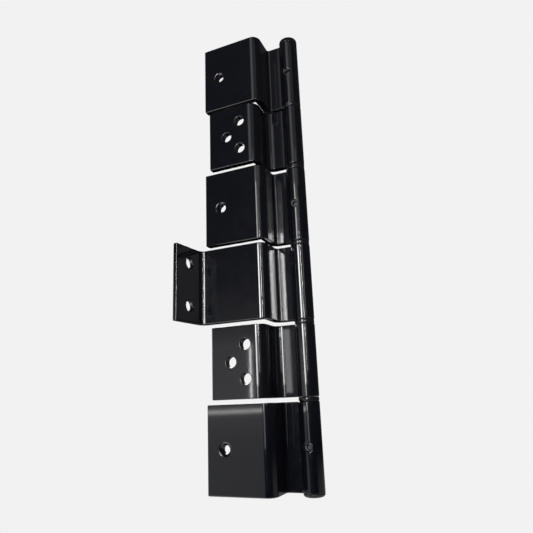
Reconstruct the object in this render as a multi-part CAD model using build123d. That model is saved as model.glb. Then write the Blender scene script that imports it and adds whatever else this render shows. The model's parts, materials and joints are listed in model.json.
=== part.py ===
"""Folding-door pivot hinge: six cranked leaves stacked on one pin.

The pin's axis is Z, and Z is 0 at the lower end of the bottom leaf. The leaves point along -X,
and their plates stand forward of the pin, towards -Y. Sizes are in millimetres.
"""

from build123d import *
import os
from math import cos, radians, sin, sqrt

# Heights of the leaves along the pin
clamped_leaf_height = 50.5
swing_leaf_height = 43.6
pull_leaf_height = 48.2

# Knuckle and the wall of the extruded section
knuckle_radius = 6.3
leaf_wall = 4.8
plate_setback = 21.5

# Plan of the clamped leaves, measured from the pin
clamped_web_reach = 15.3
clamped_leaf_reach = 57.1
clamped_bend_outside = 5.9
clamped_bend_inside = 1.6

# Plan of the swing leaves
swing_web_reach = 18.6
swing_leaf_reach = 54.0
swing_bend_outside = 6.3
swing_bend_inside = 4.9
swing_plate_recess = 0.4

# Flange of the pull leaf, which leans outwards from square by so many degrees
flange_wall = 3.0
flange_reach = 60.5
flange_length = 24.8
flange_lean = 6.8
flange_bend_inside = 2.9

# Screw holes
screw_hole_radius = 3.3
screw_rows_apart = 20.4
screw_row_reach = 31.1
single_screw_reach = 40.8
countersunk_hole_radius = 2.4
countersink_radius = 3.8
countersunk_reach = 45.5
flange_holes_apart = 27.2
flange_hole_setback = 12.0

# Pin and what turns on it
pin_radius = 3.0
running_clearance = 0.05
press_clearance = 0.02
bush_wall = 1.0
bush_length = 14.0
washer_thickness = 2.5
thin_washer_thickness = 1.5
thick_washer_thickness = 3.6
washer_clearance = 0.1
washer_step = 0.15
end_play = 0.1

# Set screws
set_screw_radius = 2.5
set_screw_thread_clearance = 0.05
set_screw_recess = 0.6
set_screw_socket_across = 2.5
set_screw_socket_depth = 2.0
pin_flat_depth = 0.8
pin_flat_length = 6.0

# End caps
top_cap_thickness = 4.0
bottom_cap_thickness = 1.9
cap_stem_length = 5.0
cap_pin_gap = 0.2

# Worked out from the sizes above
plate_front = -plate_setback
arm_front = -leaf_wall / 2
arm_back = leaf_wall / 2
clamped_bore = pin_radius + running_clearance
bush_outer_radius = pin_radius + running_clearance + bush_wall
swing_bore = bush_outer_radius + press_clearance
washer_radius = knuckle_radius - washer_step
pin_flat_offset = pin_radius - pin_flat_depth

# Leaf, its height and the washer over it, from the bottom up
stack = [
    ("bottom_clamped", clamped_leaf_height, washer_thickness),
    ("lower_swing", swing_leaf_height, washer_thickness),
    ("pull", pull_leaf_height, washer_thickness),
    ("middle_clamped", clamped_leaf_height, thick_washer_thickness),
    ("upper_swing", swing_leaf_height, thin_washer_thickness),
    ("top_clamped", clamped_leaf_height, None),
]
leaf_bottom = {}
leaf_top = {}
washer_over = {}
level = 0.0
for leaf_name, leaf_height, thickness in stack:
    leaf_bottom[leaf_name] = level
    leaf_top[leaf_name] = level + leaf_height
    level += leaf_height
    if thickness:
        washer_over[leaf_name] = thickness
        level += thickness + end_play
hinge_length = level


def leaf_middle(name):
    """Height of the middle of a leaf."""
    return (leaf_bottom[name] + leaf_top[name]) / 2


def round_corner(sketch, x, y, radius):
    """The sketch with the corner nearest to (x, y) rounded."""
    corner = sketch.vertices().sort_by_distance((x, y, 0))[0]
    return fillet(corner, radius)


def leaf_section(front, web_reach, bend_outside, bend_inside, plate_end):
    """Plan of a leaf: plate, web, arm and knuckle. plate_end holds the free end's corners."""
    web_face = -web_reach
    web_back = web_face - leaf_wall
    neck = -sqrt(knuckle_radius**2 - arm_front**2)
    corners = [
        (neck, arm_back),
        (web_back, arm_back),
        (web_back, front + leaf_wall),
        *plate_end,
        (web_face, front),
        (web_face, arm_front),
        (neck, arm_front),
    ]
    with BuildSketch() as section:
        with BuildLine():
            straight = Polyline(*corners)
            ThreePointArc(straight @ 1, (knuckle_radius, 0), straight @ 0)
        make_face()
        round_corner(section, web_face, front, bend_outside)
        round_corner(section, web_face, arm_front, bend_inside)
        round_corner(section, web_back, arm_back, bend_inside + leaf_wall)
    return section


def plain_section(front, web_reach, leaf_reach, bend_outside, bend_inside):
    """Plan of a leaf whose plate ends in a plain edge."""
    plate_end = [(-leaf_reach, front + leaf_wall), (-leaf_reach, front)]
    return leaf_section(front, web_reach, bend_outside, bend_inside, plate_end).sketch


def on_flange(along, into):
    """Plan point on the flange, so far along it from the plate's front and so deep under its inner face."""
    lean = radians(flange_lean)
    x = -flange_reach - along * sin(lean) - into * cos(lean)
    y = plate_front - along * cos(lean) + into * sin(lean)
    return x, y


def flanged_section():
    """Plan of the pull leaf, whose plate turns forward into a flange."""
    lean = radians(flange_lean)
    back_of_bend = -(leaf_wall - flange_wall * sin(lean)) / cos(lean)
    plate_end = [
        on_flange(back_of_bend, flange_wall),
        on_flange(flange_length, flange_wall),
        on_flange(flange_length, 0),
        on_flange(0, 0),
    ]
    section = leaf_section(
        plate_front, clamped_web_reach, clamped_bend_outside, clamped_bend_inside, plate_end
    )
    with section:
        round_corner(section, *plate_end[0], flange_bend_inside + flange_wall)
        round_corner(section, *plate_end[3], flange_bend_inside)
    return section.sketch


def cut_to_length(section, name):
    """The section cut to the leaf's height."""
    return Pos(0, 0, leaf_bottom[name]) * extrude(section, leaf_top[name] - leaf_bottom[name])


def bore(name, radius):
    """Cutter for the knuckle's bore."""
    height = leaf_top[name] - leaf_bottom[name]
    return Pos(0, 0, leaf_middle(name)) * Cylinder(radius, height)


def plain_hole(mouth, radius, depth):
    """Cutter for a round hole. mouth is the plane it leaves by."""
    return mouth * Cylinder(radius, depth, align=(Align.CENTER, Align.CENTER, Align.MAX))


def countersunk_hole(mouth, radius, rim_radius, depth):
    """Cutter for a round hole that opens at 45 degrees to its rim."""
    flare = Cone(radius, rim_radius, rim_radius - radius, align=(Align.CENTER, Align.CENTER, Align.MAX))
    return plain_hole(mouth, radius, depth) + mouth * flare


def front_plane(x, y, z):
    """Plane of a hole that opens towards the front."""
    return Plane(origin=(x, y, z), x_dir=(1, 0, 0), z_dir=(0, -1, 0))


def clamped_leaf(name):
    """A leaf that a set screw holds to the pin, with one countersunk hole in its plate."""
    section = plain_section(
        plate_front, clamped_web_reach, clamped_leaf_reach, clamped_bend_outside, clamped_bend_inside
    )
    middle = leaf_middle(name)
    countersunk = countersunk_hole(
        front_plane(-countersunk_reach, plate_front, middle),
        countersunk_hole_radius,
        countersink_radius,
        leaf_wall,
    )
    thread = plain_hole(front_plane(0, -knuckle_radius, middle), set_screw_radius, knuckle_radius)
    return cut_to_length(section, name) - bore(name, clamped_bore) - countersunk - thread


def swing_leaf(name):
    """A leaf that turns on two bushes, with three plain holes in its plate."""
    front = plate_front + swing_plate_recess
    section = plain_section(
        front, swing_web_reach, swing_leaf_reach, swing_bend_outside, swing_bend_inside
    )
    leaf = cut_to_length(section, name) - bore(name, swing_bore)
    middle = leaf_middle(name)
    places = [
        (screw_row_reach, middle + screw_rows_apart / 2),
        (screw_row_reach, middle - screw_rows_apart / 2),
        (single_screw_reach, middle),
    ]
    for reach, height in places:
        leaf -= plain_hole(front_plane(-reach, front, height), screw_hole_radius, leaf_wall)
    return leaf


def pull_leaf(name):
    """The leaf with the forward flange, which turns on two bushes."""
    leaf = cut_to_length(flanged_section(), name) - bore(name, swing_bore)
    lean = radians(flange_lean)
    for side in (-1, 1):
        height = leaf_middle(name) + side * flange_holes_apart / 2
        mouth = Plane(
            origin=(*on_flange(flange_hole_setback, 0), height),
            x_dir=(0, 0, 1),
            z_dir=(cos(lean), -sin(lean), 0),
        )
        leaf -= plain_hole(mouth, screw_hole_radius, flange_wall)
    return leaf


def tube(outer, inner, bottom, length):
    """A washer or a sleeve round the pin."""
    blank = Cylinder(outer, length) - Cylinder(inner, length)
    return Pos(0, 0, bottom + length / 2) * blank


def bush(name, end):
    """Sleeve in one end of a knuckle that turns, flush with that end."""
    bottom = leaf_bottom[name] if end == "bottom" else leaf_top[name] - bush_length
    return tube(bush_outer_radius, pin_radius + running_clearance, bottom, bush_length)


def washer(leaf_below, lift):
    """Thrust washer in the gap over a leaf, lifted off that leaf by its share of the end play."""
    bottom = leaf_top[leaf_below] + lift
    return tube(washer_radius, pin_radius + washer_clearance, bottom, washer_over[leaf_below])


def hinge_pin():
    """Pin with a flat under each set screw."""
    end = cap_stem_length + cap_pin_gap
    length = hinge_length - 2 * end
    pin = Pos(0, 0, hinge_length / 2) * Cylinder(pin_radius, length)
    for name in clamped_names:
        flat = Box(
            2 * pin_radius,
            pin_flat_depth,
            pin_flat_length,
            align=(Align.CENTER, Align.MAX, Align.CENTER),
        )
        pin -= Pos(0, -pin_flat_offset, leaf_middle(name)) * flat
    return pin


def set_screw(name):
    """Socket set screw, its tip on the pin's flat and its socket at the front of the knuckle."""
    length = knuckle_radius - set_screw_recess - pin_flat_offset
    seat = front_plane(0, -pin_flat_offset, leaf_middle(name))
    shank = Cylinder(
        set_screw_radius - set_screw_thread_clearance,
        length,
        align=(Align.CENTER, Align.CENTER, Align.MIN),
    )
    hexagon = RegularPolygon(set_screw_socket_across / 2, 6, major_radius=False)
    socket = Pos(0, 0, length - set_screw_socket_depth) * extrude(hexagon, set_screw_socket_depth)
    return seat * (shank - socket)


def end_cap(outer_end, outward, thickness):
    """Cap over an outer knuckle end, with a square stem that the knuckle's bore grips by its corners."""
    disc = Pos(0, 0, outer_end + outward * thickness / 2) * Cylinder(knuckle_radius, thickness)
    across = sqrt(2) * (clamped_bore - press_clearance)
    stem = Pos(0, 0, outer_end - outward * cap_stem_length / 2) * Box(across, across, cap_stem_length)
    return disc + stem


clamped_names = ["bottom_clamped", "middle_clamped", "top_clamped"]
swing_names = ["lower_swing", "upper_swing"]
turning_names = ["lower_swing", "pull", "upper_swing"]

parts = {}
for name in clamped_names:
    place = name.removesuffix("_clamped")
    parts[f"{name}_leaf"] = clamped_leaf(name)
    parts[f"{place}_set_screw"] = set_screw(name)
for name in swing_names:
    parts[f"{name}_leaf"] = swing_leaf(name)
parts["pull_leaf"] = pull_leaf("pull")
for name in turning_names:
    for end in ("top", "bottom"):
        parts[f"{name}_{end}_bush"] = bush(name, end)
parts["washer_over_bottom"] = washer("bottom_clamped", 0)
parts["washer_under_pull"] = washer("lower_swing", end_play / 2)
parts["washer_under_middle"] = washer("pull", end_play)
parts["washer_over_middle"] = washer("middle_clamped", 0)
parts["washer_under_top"] = washer("upper_swing", end_play)
parts["hinge_pin"] = hinge_pin()
parts["top_end_cap"] = end_cap(hinge_length, 1, top_cap_thickness)
parts["bottom_end_cap"] = end_cap(0.0, -1, bottom_cap_thickness)

os.makedirs("parts", exist_ok=True)
for node, solid in parts.items():
    export_step(solid, f"parts/{node}.step")
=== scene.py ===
"""Looks, light and camera for the folding-door pivot hinge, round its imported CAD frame.

Lengths are in metres. Azimuths turn from -Y towards +X and elevations rise from level, both in degrees.
"""

import json
from math import cos, hypot, radians, sin

import bpy
from mathutils import Matrix, Vector


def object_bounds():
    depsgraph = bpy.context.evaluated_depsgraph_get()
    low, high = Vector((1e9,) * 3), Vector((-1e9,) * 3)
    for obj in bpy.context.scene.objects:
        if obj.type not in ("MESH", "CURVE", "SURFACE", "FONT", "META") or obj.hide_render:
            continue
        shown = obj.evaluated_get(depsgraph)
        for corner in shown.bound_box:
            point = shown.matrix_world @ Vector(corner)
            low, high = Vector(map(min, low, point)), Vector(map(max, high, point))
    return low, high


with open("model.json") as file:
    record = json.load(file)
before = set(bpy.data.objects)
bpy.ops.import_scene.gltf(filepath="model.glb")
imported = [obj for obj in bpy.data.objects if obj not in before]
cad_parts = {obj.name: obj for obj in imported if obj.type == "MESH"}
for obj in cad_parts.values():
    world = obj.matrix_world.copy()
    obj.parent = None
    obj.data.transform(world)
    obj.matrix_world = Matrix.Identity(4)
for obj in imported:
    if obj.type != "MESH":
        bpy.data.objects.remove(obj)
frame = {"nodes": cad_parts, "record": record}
cad_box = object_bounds()
nodes = frame["nodes"]

# Camera, as worked out from the photo
eye = Vector((0.0980, -0.2903, 0.0509))
heading = radians(22.79)
looking_up = radians(15.33)
roll = radians(-2.32)
lens_mm = 33.4
sensor_mm = 36.0
nearest_seen = 0.01

# Colours of the surfaces, darkest and lightest where they vary
coat_black = (0.0028, 0.0031, 0.0052)
dust_grey = (0.12, 0.12, 0.12)
steel_colours = ((0.42, 0.42, 0.44), (0.56, 0.56, 0.58))
oxide_colours = ((0.03, 0.03, 0.032), (0.08, 0.08, 0.085))
plastic_colours = ((0.004, 0.004, 0.005), (0.009, 0.009, 0.010))

# Gloss of the surfaces: roughness from the smoothest to the roughest spot, and the shine under the coat
coat_base_roughness = (0.16, 0.24)
coat_top_roughness = 0.04
coat_base_specular = 0.1
steel_roughness = (0.25, 0.42)
oxide_roughness = (0.25, 0.40)
nylon_roughness = (0.08, 0.18)
cap_roughness = (0.10, 0.20)
floor_roughness = 0.9

# Marks on the surfaces: how wide, fine and deep they are, and which part of a noise they use
speck_size = 0.0007
speck_detail = 3
speck_range = (0.72, 0.78)
speck_cover = 0.5
cloud_size = 0.006
peel_size = 0.0015
peel_depth = 0.00002
peel_strength = 0.06
plain_detail = 2
grinding_size = 0.0004
blotch_size = 0.0008
metal_detail = 4
grain_size = 0.0005
grain_detail = 3
mark_depth = 0.00001
metal_mark_strength = 0.2
grain_strength = 0.15
noise_range = (0.3, 0.7)

# Greys as light leaves them, where 1 is white
backdrop_grey = 0.887
dark_room_grey = 0.04
side_ground_grey = 0.25
line_grey = 6.2
ambient_light = 0.35

# Stage
floor_drop = 0.10
floor_radius = 0.60
floor_fade_radius = 0.30
floor_solid_radius = 0.12
floor_segments = 96
room_radius = 3.0
room_segments = 48

# Glow that the gloss mirrors on the dome's front left: elevation and grey, from the ground upwards
ground_glow = [
    (-50, 3.0),
    (-20, 3.0),
    (-13, 0.42),
    (-6, 0.5),
    (-3.8, 0.6),
    (-2.0, 0.7),
    (0, 0.7),
    (5, 0.65),
    (8, 0.25),
    (13, 0.08),
    (28, 0.02),
]
# Where parts of the dome's glow begin, reach their full grey, begin to sink and end
line_elevations = (-3.25, -2.85, -2.85, -2.45)
front_left_azimuths = (-80, -65, -24, -21)
left_azimuths = (-140, -130, -85, -75)
right_azimuths = (55, 75, 172, 178)
# Elevations between which the ground at the sides ends, and between which the dome's dark grey sets in
side_ground_end = (-12, -7)
gloom_start = (-8, -2)

# Lights round the pin: azimuth, lowest and highest point, width and radiance.
# A window stands in front and fades upwards, downwards and to the right. Two slits shine from near the
# camera into the corners between web and arm. The strips draw lines on the lower leaves, one box lights
# the flange's inner side, and two boxes light the back.
light_distance = 0.9
watts_per_area_and_radiance = 4
softboxes = {
    "window": (-6.75, 0.20, 0.43, 0.165, 20),
    "window_low": (-6.75, 0.09, 0.20, 0.165, 14),
    "window_foot": (-6.75, 0.03, 0.09, 0.165, 4.5),
    "window_sill": (-4.6, -0.05, 0.03, 0.275, 1),
    "window_fade": (-6.75, 0.43, 0.60, 0.165, 6),
    "window_fade_side": (4.6, 0.43, 0.60, 0.19, 1.3),
    "window_top_left": (-15.7, 0.60, 1.05, 0.15, 0.5),
    "window_top": (-3.0, 0.60, 1.05, 0.25, 0.85),
    "window_top_right": (10.5, 0.60, 1.05, 0.175, 0.5),
    "window_top_side": (21.5, 0.60, 1.05, 0.175, 0.15),
    "window_top_far": (40, 0.60, 1.05, 0.40, 0.2),
    "window_right": (1.3, 0.09, 0.43, 0.088, 5),
    "window_edge": (7.0, 0.09, 0.43, 0.09, 2.0),
    "window_side": (18.5, 0.12, 0.60, 0.17, 0.6),
    "window_far_side": (32, 0.12, 0.70, 0.26, 0.4),
    "left_slit": (19.55, 0.20, 0.47, 0.005, 120),
    "left_slit_foot": (19.55, 0.12, 0.20, 0.005, 30),
    "left_slit_top": (19.55, 0.47, 0.56, 0.005, 6),
    "left_slit_tip": (19.55, 0.56, 0.70, 0.005, 3),
    "right_slit": (21.45, 0.20, 0.47, 0.005, 120),
    "right_slit_foot": (21.45, 0.12, 0.20, 0.005, 30),
    "right_slit_top": (21.45, 0.47, 0.56, 0.005, 6),
    "right_slit_tip": (21.45, 0.56, 0.70, 0.005, 3),
    "low_strip": (-21.4, 0.07, 0.22, 0.014, 3),
    "plate_strip": (-26.1, 0.06, 0.184, 0.0035, 16),
    "flange_box": (42.75, 0.25, 0.45, 0.066, 2.3),
    "back_left_box": (-105, 0.15, 0.60, 0.30, 4),
    "back_box": (-150, 0.15, 0.60, 0.30, 4),
}

# Rounding of edges that the CAD leaves sharp
leaf_edge_round = 0.0006
washer_edge_round = 0.00065
cap_rim_round = 0.0017
screw_edge_round = 0.0004
small_edge_round = 0.0002
knuckle_radius = 0.0063
edge_segments = 3
sharp_from = radians(30)
same_plane_within = radians(1)
same_point_within = 1e-6
rim_within = 1e-5
largest_faces_only = 100
same_area_within = 1e-6

hinge_middle = (cad_box[0].z + cad_box[1].z) / 2


def combine(tree, operation, *values):
    """Math on linked values or plain numbers."""
    node = tree.nodes.new("ShaderNodeMath")
    node.operation = operation
    for socket, value in zip(node.inputs, values):
        if isinstance(value, (int, float)):
            socket.default_value = value
        else:
            tree.links.new(value, socket)
    return node.outputs["Value"]


def spread(tree, value, start, stop, from_value, to_value):
    """value turned evenly from from_value at start to to_value at stop, and held there outside."""
    node = tree.nodes.new("ShaderNodeMapRange")
    node.inputs["From Min"].default_value = start
    node.inputs["From Max"].default_value = stop
    node.inputs["To Min"].default_value = from_value
    node.inputs["To Max"].default_value = to_value
    tree.links.new(value, node.inputs["Value"])
    return node.outputs["Result"]


def fade(tree, value, start, stop, from_value, to_value):
    """As spread, but with soft ends."""
    result = spread(tree, value, start, stop, from_value, to_value)
    result.node.interpolation_type = "SMOOTHSTEP"
    return result


def between(tree, value, start, full_from, full_to, stop):
    """1 from full_from to full_to, fading to 0 at start and at stop."""
    rise = fade(tree, value, start, full_from, 0, 1)
    fall = fade(tree, value, full_to, stop, 1, 0)
    return combine(tree, "MULTIPLY", rise, fall)


def new_material(name):
    """A node material with its node tree, its Principled shader and the place on the piece in metres."""
    material = bpy.data.materials.new(name)
    material.use_nodes = True
    tree = material.node_tree
    place = tree.nodes.new("ShaderNodeTexCoord").outputs["Object"]
    return material, tree, tree.nodes["Principled BSDF"], place


def noise(tree, place, size, detail=plain_detail):
    """Noise whose features are about size across."""
    node = tree.nodes.new("ShaderNodeTexNoise")
    node.inputs["Scale"].default_value = 1 / size
    node.inputs["Detail"].default_value = detail
    tree.links.new(place, node.inputs["Vector"])
    return node.outputs["Fac"]


def shades(tree, value, dark, light):
    """Colour that goes from dark to light with value."""
    node = tree.nodes.new("ShaderNodeMix")
    node.data_type = "RGBA"
    node.inputs["A"].default_value = (*dark, 1)
    node.inputs["B"].default_value = (*light, 1)
    tree.links.new(value, node.inputs["Factor"])
    return node.outputs["Result"]


def bump(tree, shader, height, depth, strength):
    """Relief of that depth on the shader's surface."""
    node = tree.nodes.new("ShaderNodeBump")
    node.inputs["Distance"].default_value = depth
    node.inputs["Strength"].default_value = strength
    tree.links.new(height, node.inputs["Height"])
    tree.links.new(node.outputs["Normal"], shader.inputs["Normal"])
    return node.outputs["Normal"]


def black_coat():
    """Glossy black coat on aluminium, with a little orange peel and a few specks of dust."""
    material, tree, shader, place = new_material("black_coat")
    specks = spread(tree, noise(tree, place, speck_size, speck_detail), *speck_range, 0, speck_cover)
    tree.links.new(shades(tree, specks, coat_black, dust_grey), shader.inputs["Base Color"])
    cloud = spread(tree, noise(tree, place, cloud_size), *noise_range, *coat_base_roughness)
    tree.links.new(cloud, shader.inputs["Roughness"])
    shader.inputs["Specular IOR Level"].default_value = coat_base_specular
    shader.inputs["Coat Weight"].default_value = 1
    shader.inputs["Coat Roughness"].default_value = coat_top_roughness
    peel = bump(tree, shader, noise(tree, place, peel_size), peel_depth, peel_strength)
    tree.links.new(peel, shader.inputs["Coat Normal"])
    return material


def uneven(name, size, detail, colours, roughness, strength, metallic):
    """A surface whose colour, roughness and fine relief follow one noise."""
    material, tree, shader, place = new_material(name)
    marks = noise(tree, place, size, detail)
    tree.links.new(shades(tree, marks, *colours), shader.inputs["Base Color"])
    tree.links.new(spread(tree, marks, *noise_range, *roughness), shader.inputs["Roughness"])
    shader.inputs["Metallic"].default_value = metallic
    bump(tree, shader, marks, mark_depth, strength)
    return material


def metal(name, size, colours, roughness):
    """Steel with fine marks."""
    return uneven(name, size, metal_detail, colours, roughness, metal_mark_strength, metallic=1)


def moulded(name, roughness):
    """Black moulded plastic with a fine grain."""
    return uneven(name, grain_size, grain_detail, plastic_colours, roughness, grain_strength, metallic=0)


def name_rim(node, end):
    """A vertex group of the cap's outer circle at its top or bottom end."""
    rim = node.vertex_groups.new(name="rim")
    heights = [vertex.co.z for vertex in node.data.vertices]
    level = max(heights) if end == "top" else min(heights)
    for vertex in node.data.vertices:
        out = abs(hypot(vertex.co.x, vertex.co.y) - knuckle_radius)
        if out < rim_within and abs(vertex.co.z - level) < rim_within:
            rim.add([vertex.index], 1, "REPLACE")


def add_bevel(node, name, width):
    """A rounding of that width, in a few steps."""
    bevel = node.modifiers.new(name, "BEVEL")
    bevel.width = width
    bevel.segments = edge_segments
    bevel.harden_normals = True
    bevel.use_clamp_overlap = False
    return bevel


def round_edges(node, width, rim_end=None):
    """Joins the CAD node's faces, rounds its sharp edges and smooths the shading.

    A cap's rim is rounded more.
    """
    weld = node.modifiers.new("weld", "WELD")
    weld.merge_threshold = same_point_within
    flat = node.modifiers.new("flat", "DECIMATE")
    flat.decimate_type = "DISSOLVE"
    flat.angle_limit = same_plane_within
    if rim_end:
        name_rim(node, rim_end)
        rim = add_bevel(node, "rim", cap_rim_round)
        rim.limit_method = "VGROUP"
        rim.vertex_group = "rim"
    edges = add_bevel(node, "edges", width)
    edges.limit_method = "ANGLE"
    edges.angle_limit = sharp_from
    smooth = node.modifiers.new("smooth", "WEIGHTED_NORMAL")
    smooth.keep_sharp = False
    smooth.weight = largest_faces_only
    smooth.thresh = same_area_within


def dress_nodes():
    """Gives every CAD node its material and its rounded edges."""
    pin = metal("pin_steel", grinding_size, steel_colours, steel_roughness)
    screw = metal("screw_steel", blotch_size, oxide_colours, oxide_roughness)
    materials = {
        "black_coat": (black_coat(), leaf_edge_round),
        "pin_steel": (pin, small_edge_round),
        "screw_steel": (screw, screw_edge_round),
        "black_nylon": (moulded("black_nylon", nylon_roughness), washer_edge_round),
        "cap_plastic": (moulded("cap_plastic", cap_roughness), small_edge_round),
    }
    for row in frame["record"]["subparts"]:
        name = row["node"]
        node = nodes[name]
        material, width = materials[row["material_slot"]]
        node.data.materials.clear()
        node.data.materials.append(material)
        if name.endswith("_end_cap"):
            round_edges(node, width, name.removesuffix("_end_cap"))
        else:
            round_edges(node, width)


def softbox(name, azimuth, low, high, width, radiance):
    """An area light that stands upright and faces the pin."""
    light = bpy.data.lights.new(name, "AREA")
    light.shape = "RECTANGLE"
    light.size = width
    light.size_y = high - low
    light.energy = watts_per_area_and_radiance * radiance * width * (high - low)
    lamp = bpy.data.objects.new(name, light)
    turn = radians(azimuth)
    lamp.location = (light_distance * sin(turn), -light_distance * cos(turn), (low + high) / 2)
    lamp.rotation_euler = (radians(90), 0, turn)
    lamp.visible_camera = False
    bpy.context.scene.collection.objects.link(lamp)


def add_lights():
    """Puts up every light of the list."""
    for name, (azimuth, low, high, width, radiance) in softboxes.items():
        softbox(name, azimuth, low, high, width, radiance)


def add_world():
    """Pale backdrop to the camera, in reflections and through glass; soft ambient light to the rest."""
    world = bpy.data.worlds.new("studio")
    world.use_nodes = True
    tree = world.node_tree
    background = tree.nodes["Background"]
    path = tree.nodes.new("ShaderNodeLightPath")
    seen = path.outputs["Is Camera Ray"]
    for ray in ("Is Glossy Ray", "Is Transmission Ray"):
        seen = combine(tree, "MAXIMUM", seen, path.outputs[ray])
    strength = spread(tree, seen, 0, 1, ambient_light, backdrop_grey)
    tree.links.new(strength, background.inputs["Strength"])
    background.inputs["Color"].default_value = (1, 1, 1, 1)
    bpy.context.scene.world = world


def rise_of(elevation):
    """Height that the elevation reaches on a dome of radius 1."""
    return sin(radians(elevation))


def add_dark_room():
    """A dark dome that only reflections see, with a pale ground at the front left and at the sides."""
    bpy.ops.mesh.primitive_uv_sphere_add(
        segments=room_segments, ring_count=room_segments, radius=room_radius
    )
    room = bpy.context.object
    room.name = "dark_room"
    room.location.z = hinge_middle
    material = bpy.data.materials.new("dark_room")
    material.use_nodes = True
    tree = material.node_tree
    tree.nodes.clear()
    place = tree.nodes.new("ShaderNodeTexCoord")
    axes = tree.nodes.new("ShaderNodeSeparateXYZ")
    tree.links.new(place.outputs["Object"], axes.inputs["Vector"])
    ahead = combine(tree, "MULTIPLY", axes.outputs["Y"], -1)
    azimuth = combine(tree, "ARCTAN2", axes.outputs["X"], ahead)
    height = combine(tree, "DIVIDE", axes.outputs["Z"], room_radius)
    front_left = between(tree, azimuth, *map(radians, front_left_azimuths))
    left = between(tree, azimuth, *map(radians, left_azimuths))
    right = between(tree, azimuth, *map(radians, right_azimuths))
    ramp = tree.nodes.new("ShaderNodeValToRGB")
    stops = ramp.color_ramp.elements
    while len(stops) < len(ground_glow):
        stops.new(0.5)
    for stop, (elevation, grey) in zip(stops, ground_glow):
        stop.position = (rise_of(elevation) + 1) / 2
        stop.color = (grey, grey, grey, 1)
    tree.links.new(spread(tree, height, -1, 1, 0, 1), ramp.inputs["Fac"])
    line = between(tree, height, *map(rise_of, line_elevations))
    lit_ground = combine(tree, "MULTIPLY_ADD", line, line_grey, ramp.outputs["Color"])
    front_ground = combine(tree, "MULTIPLY", front_left, lit_ground)
    pale_ground = fade(tree, height, *map(rise_of, side_ground_end), side_ground_grey, 0)
    side_ground = combine(tree, "MULTIPLY", combine(tree, "ADD", left, right), pale_ground)
    ground = combine(tree, "ADD", front_ground, side_ground)
    gloom = fade(tree, height, *map(rise_of, gloom_start), 0, dark_room_grey)
    glow = tree.nodes.new("ShaderNodeEmission")
    tree.links.new(combine(tree, "MAXIMUM", ground, gloom), glow.inputs["Strength"])
    output = tree.nodes.new("ShaderNodeOutputMaterial")
    tree.links.new(glow.outputs["Emission"], output.inputs["Surface"])
    room.data.materials.append(material)
    for ray in ("camera", "diffuse", "transmission", "volume_scatter", "shadow"):
        setattr(room, f"visible_{ray}", False)


def add_floor():
    """A pale floor below the hinge that keeps its shadow and fades out into the backdrop."""
    bpy.ops.mesh.primitive_circle_add(vertices=floor_segments, radius=floor_radius, fill_type="TRIFAN")
    floor = bpy.context.object
    floor.name = "floor"
    floor.location.z = cad_box[0].z - floor_drop
    material, tree, shader, place = new_material("floor")
    shader.inputs["Base Color"].default_value = (backdrop_grey, backdrop_grey, backdrop_grey, 1)
    shader.inputs["Roughness"].default_value = floor_roughness
    reach = tree.nodes.new("ShaderNodeVectorMath")
    reach.operation = "LENGTH"
    tree.links.new(place, reach.inputs[0])
    cover = fade(tree, reach.outputs["Value"], floor_solid_radius, floor_fade_radius, 1, 0)
    tree.links.new(cover, shader.inputs["Alpha"])
    floor.data.materials.append(material)


def add_camera():
    """The photo's viewpoint."""
    data = bpy.data.cameras.new("camera")
    data.lens = lens_mm
    data.sensor_width = sensor_mm
    data.clip_start = nearest_seen
    camera = bpy.data.objects.new("camera", data)
    turn = Matrix.Rotation(heading, 4, "Z") @ Matrix.Rotation(radians(90) + looking_up, 4, "X")
    camera.matrix_world = Matrix.Translation(eye) @ turn @ Matrix.Rotation(roll, 4, "Z")
    bpy.context.scene.collection.objects.link(camera)
    bpy.context.scene.camera = camera


dress_nodes()
add_world()
add_dark_room()
add_floor()
add_lights()
add_camera()
bpy.context.scene.view_settings.view_transform = "Standard"
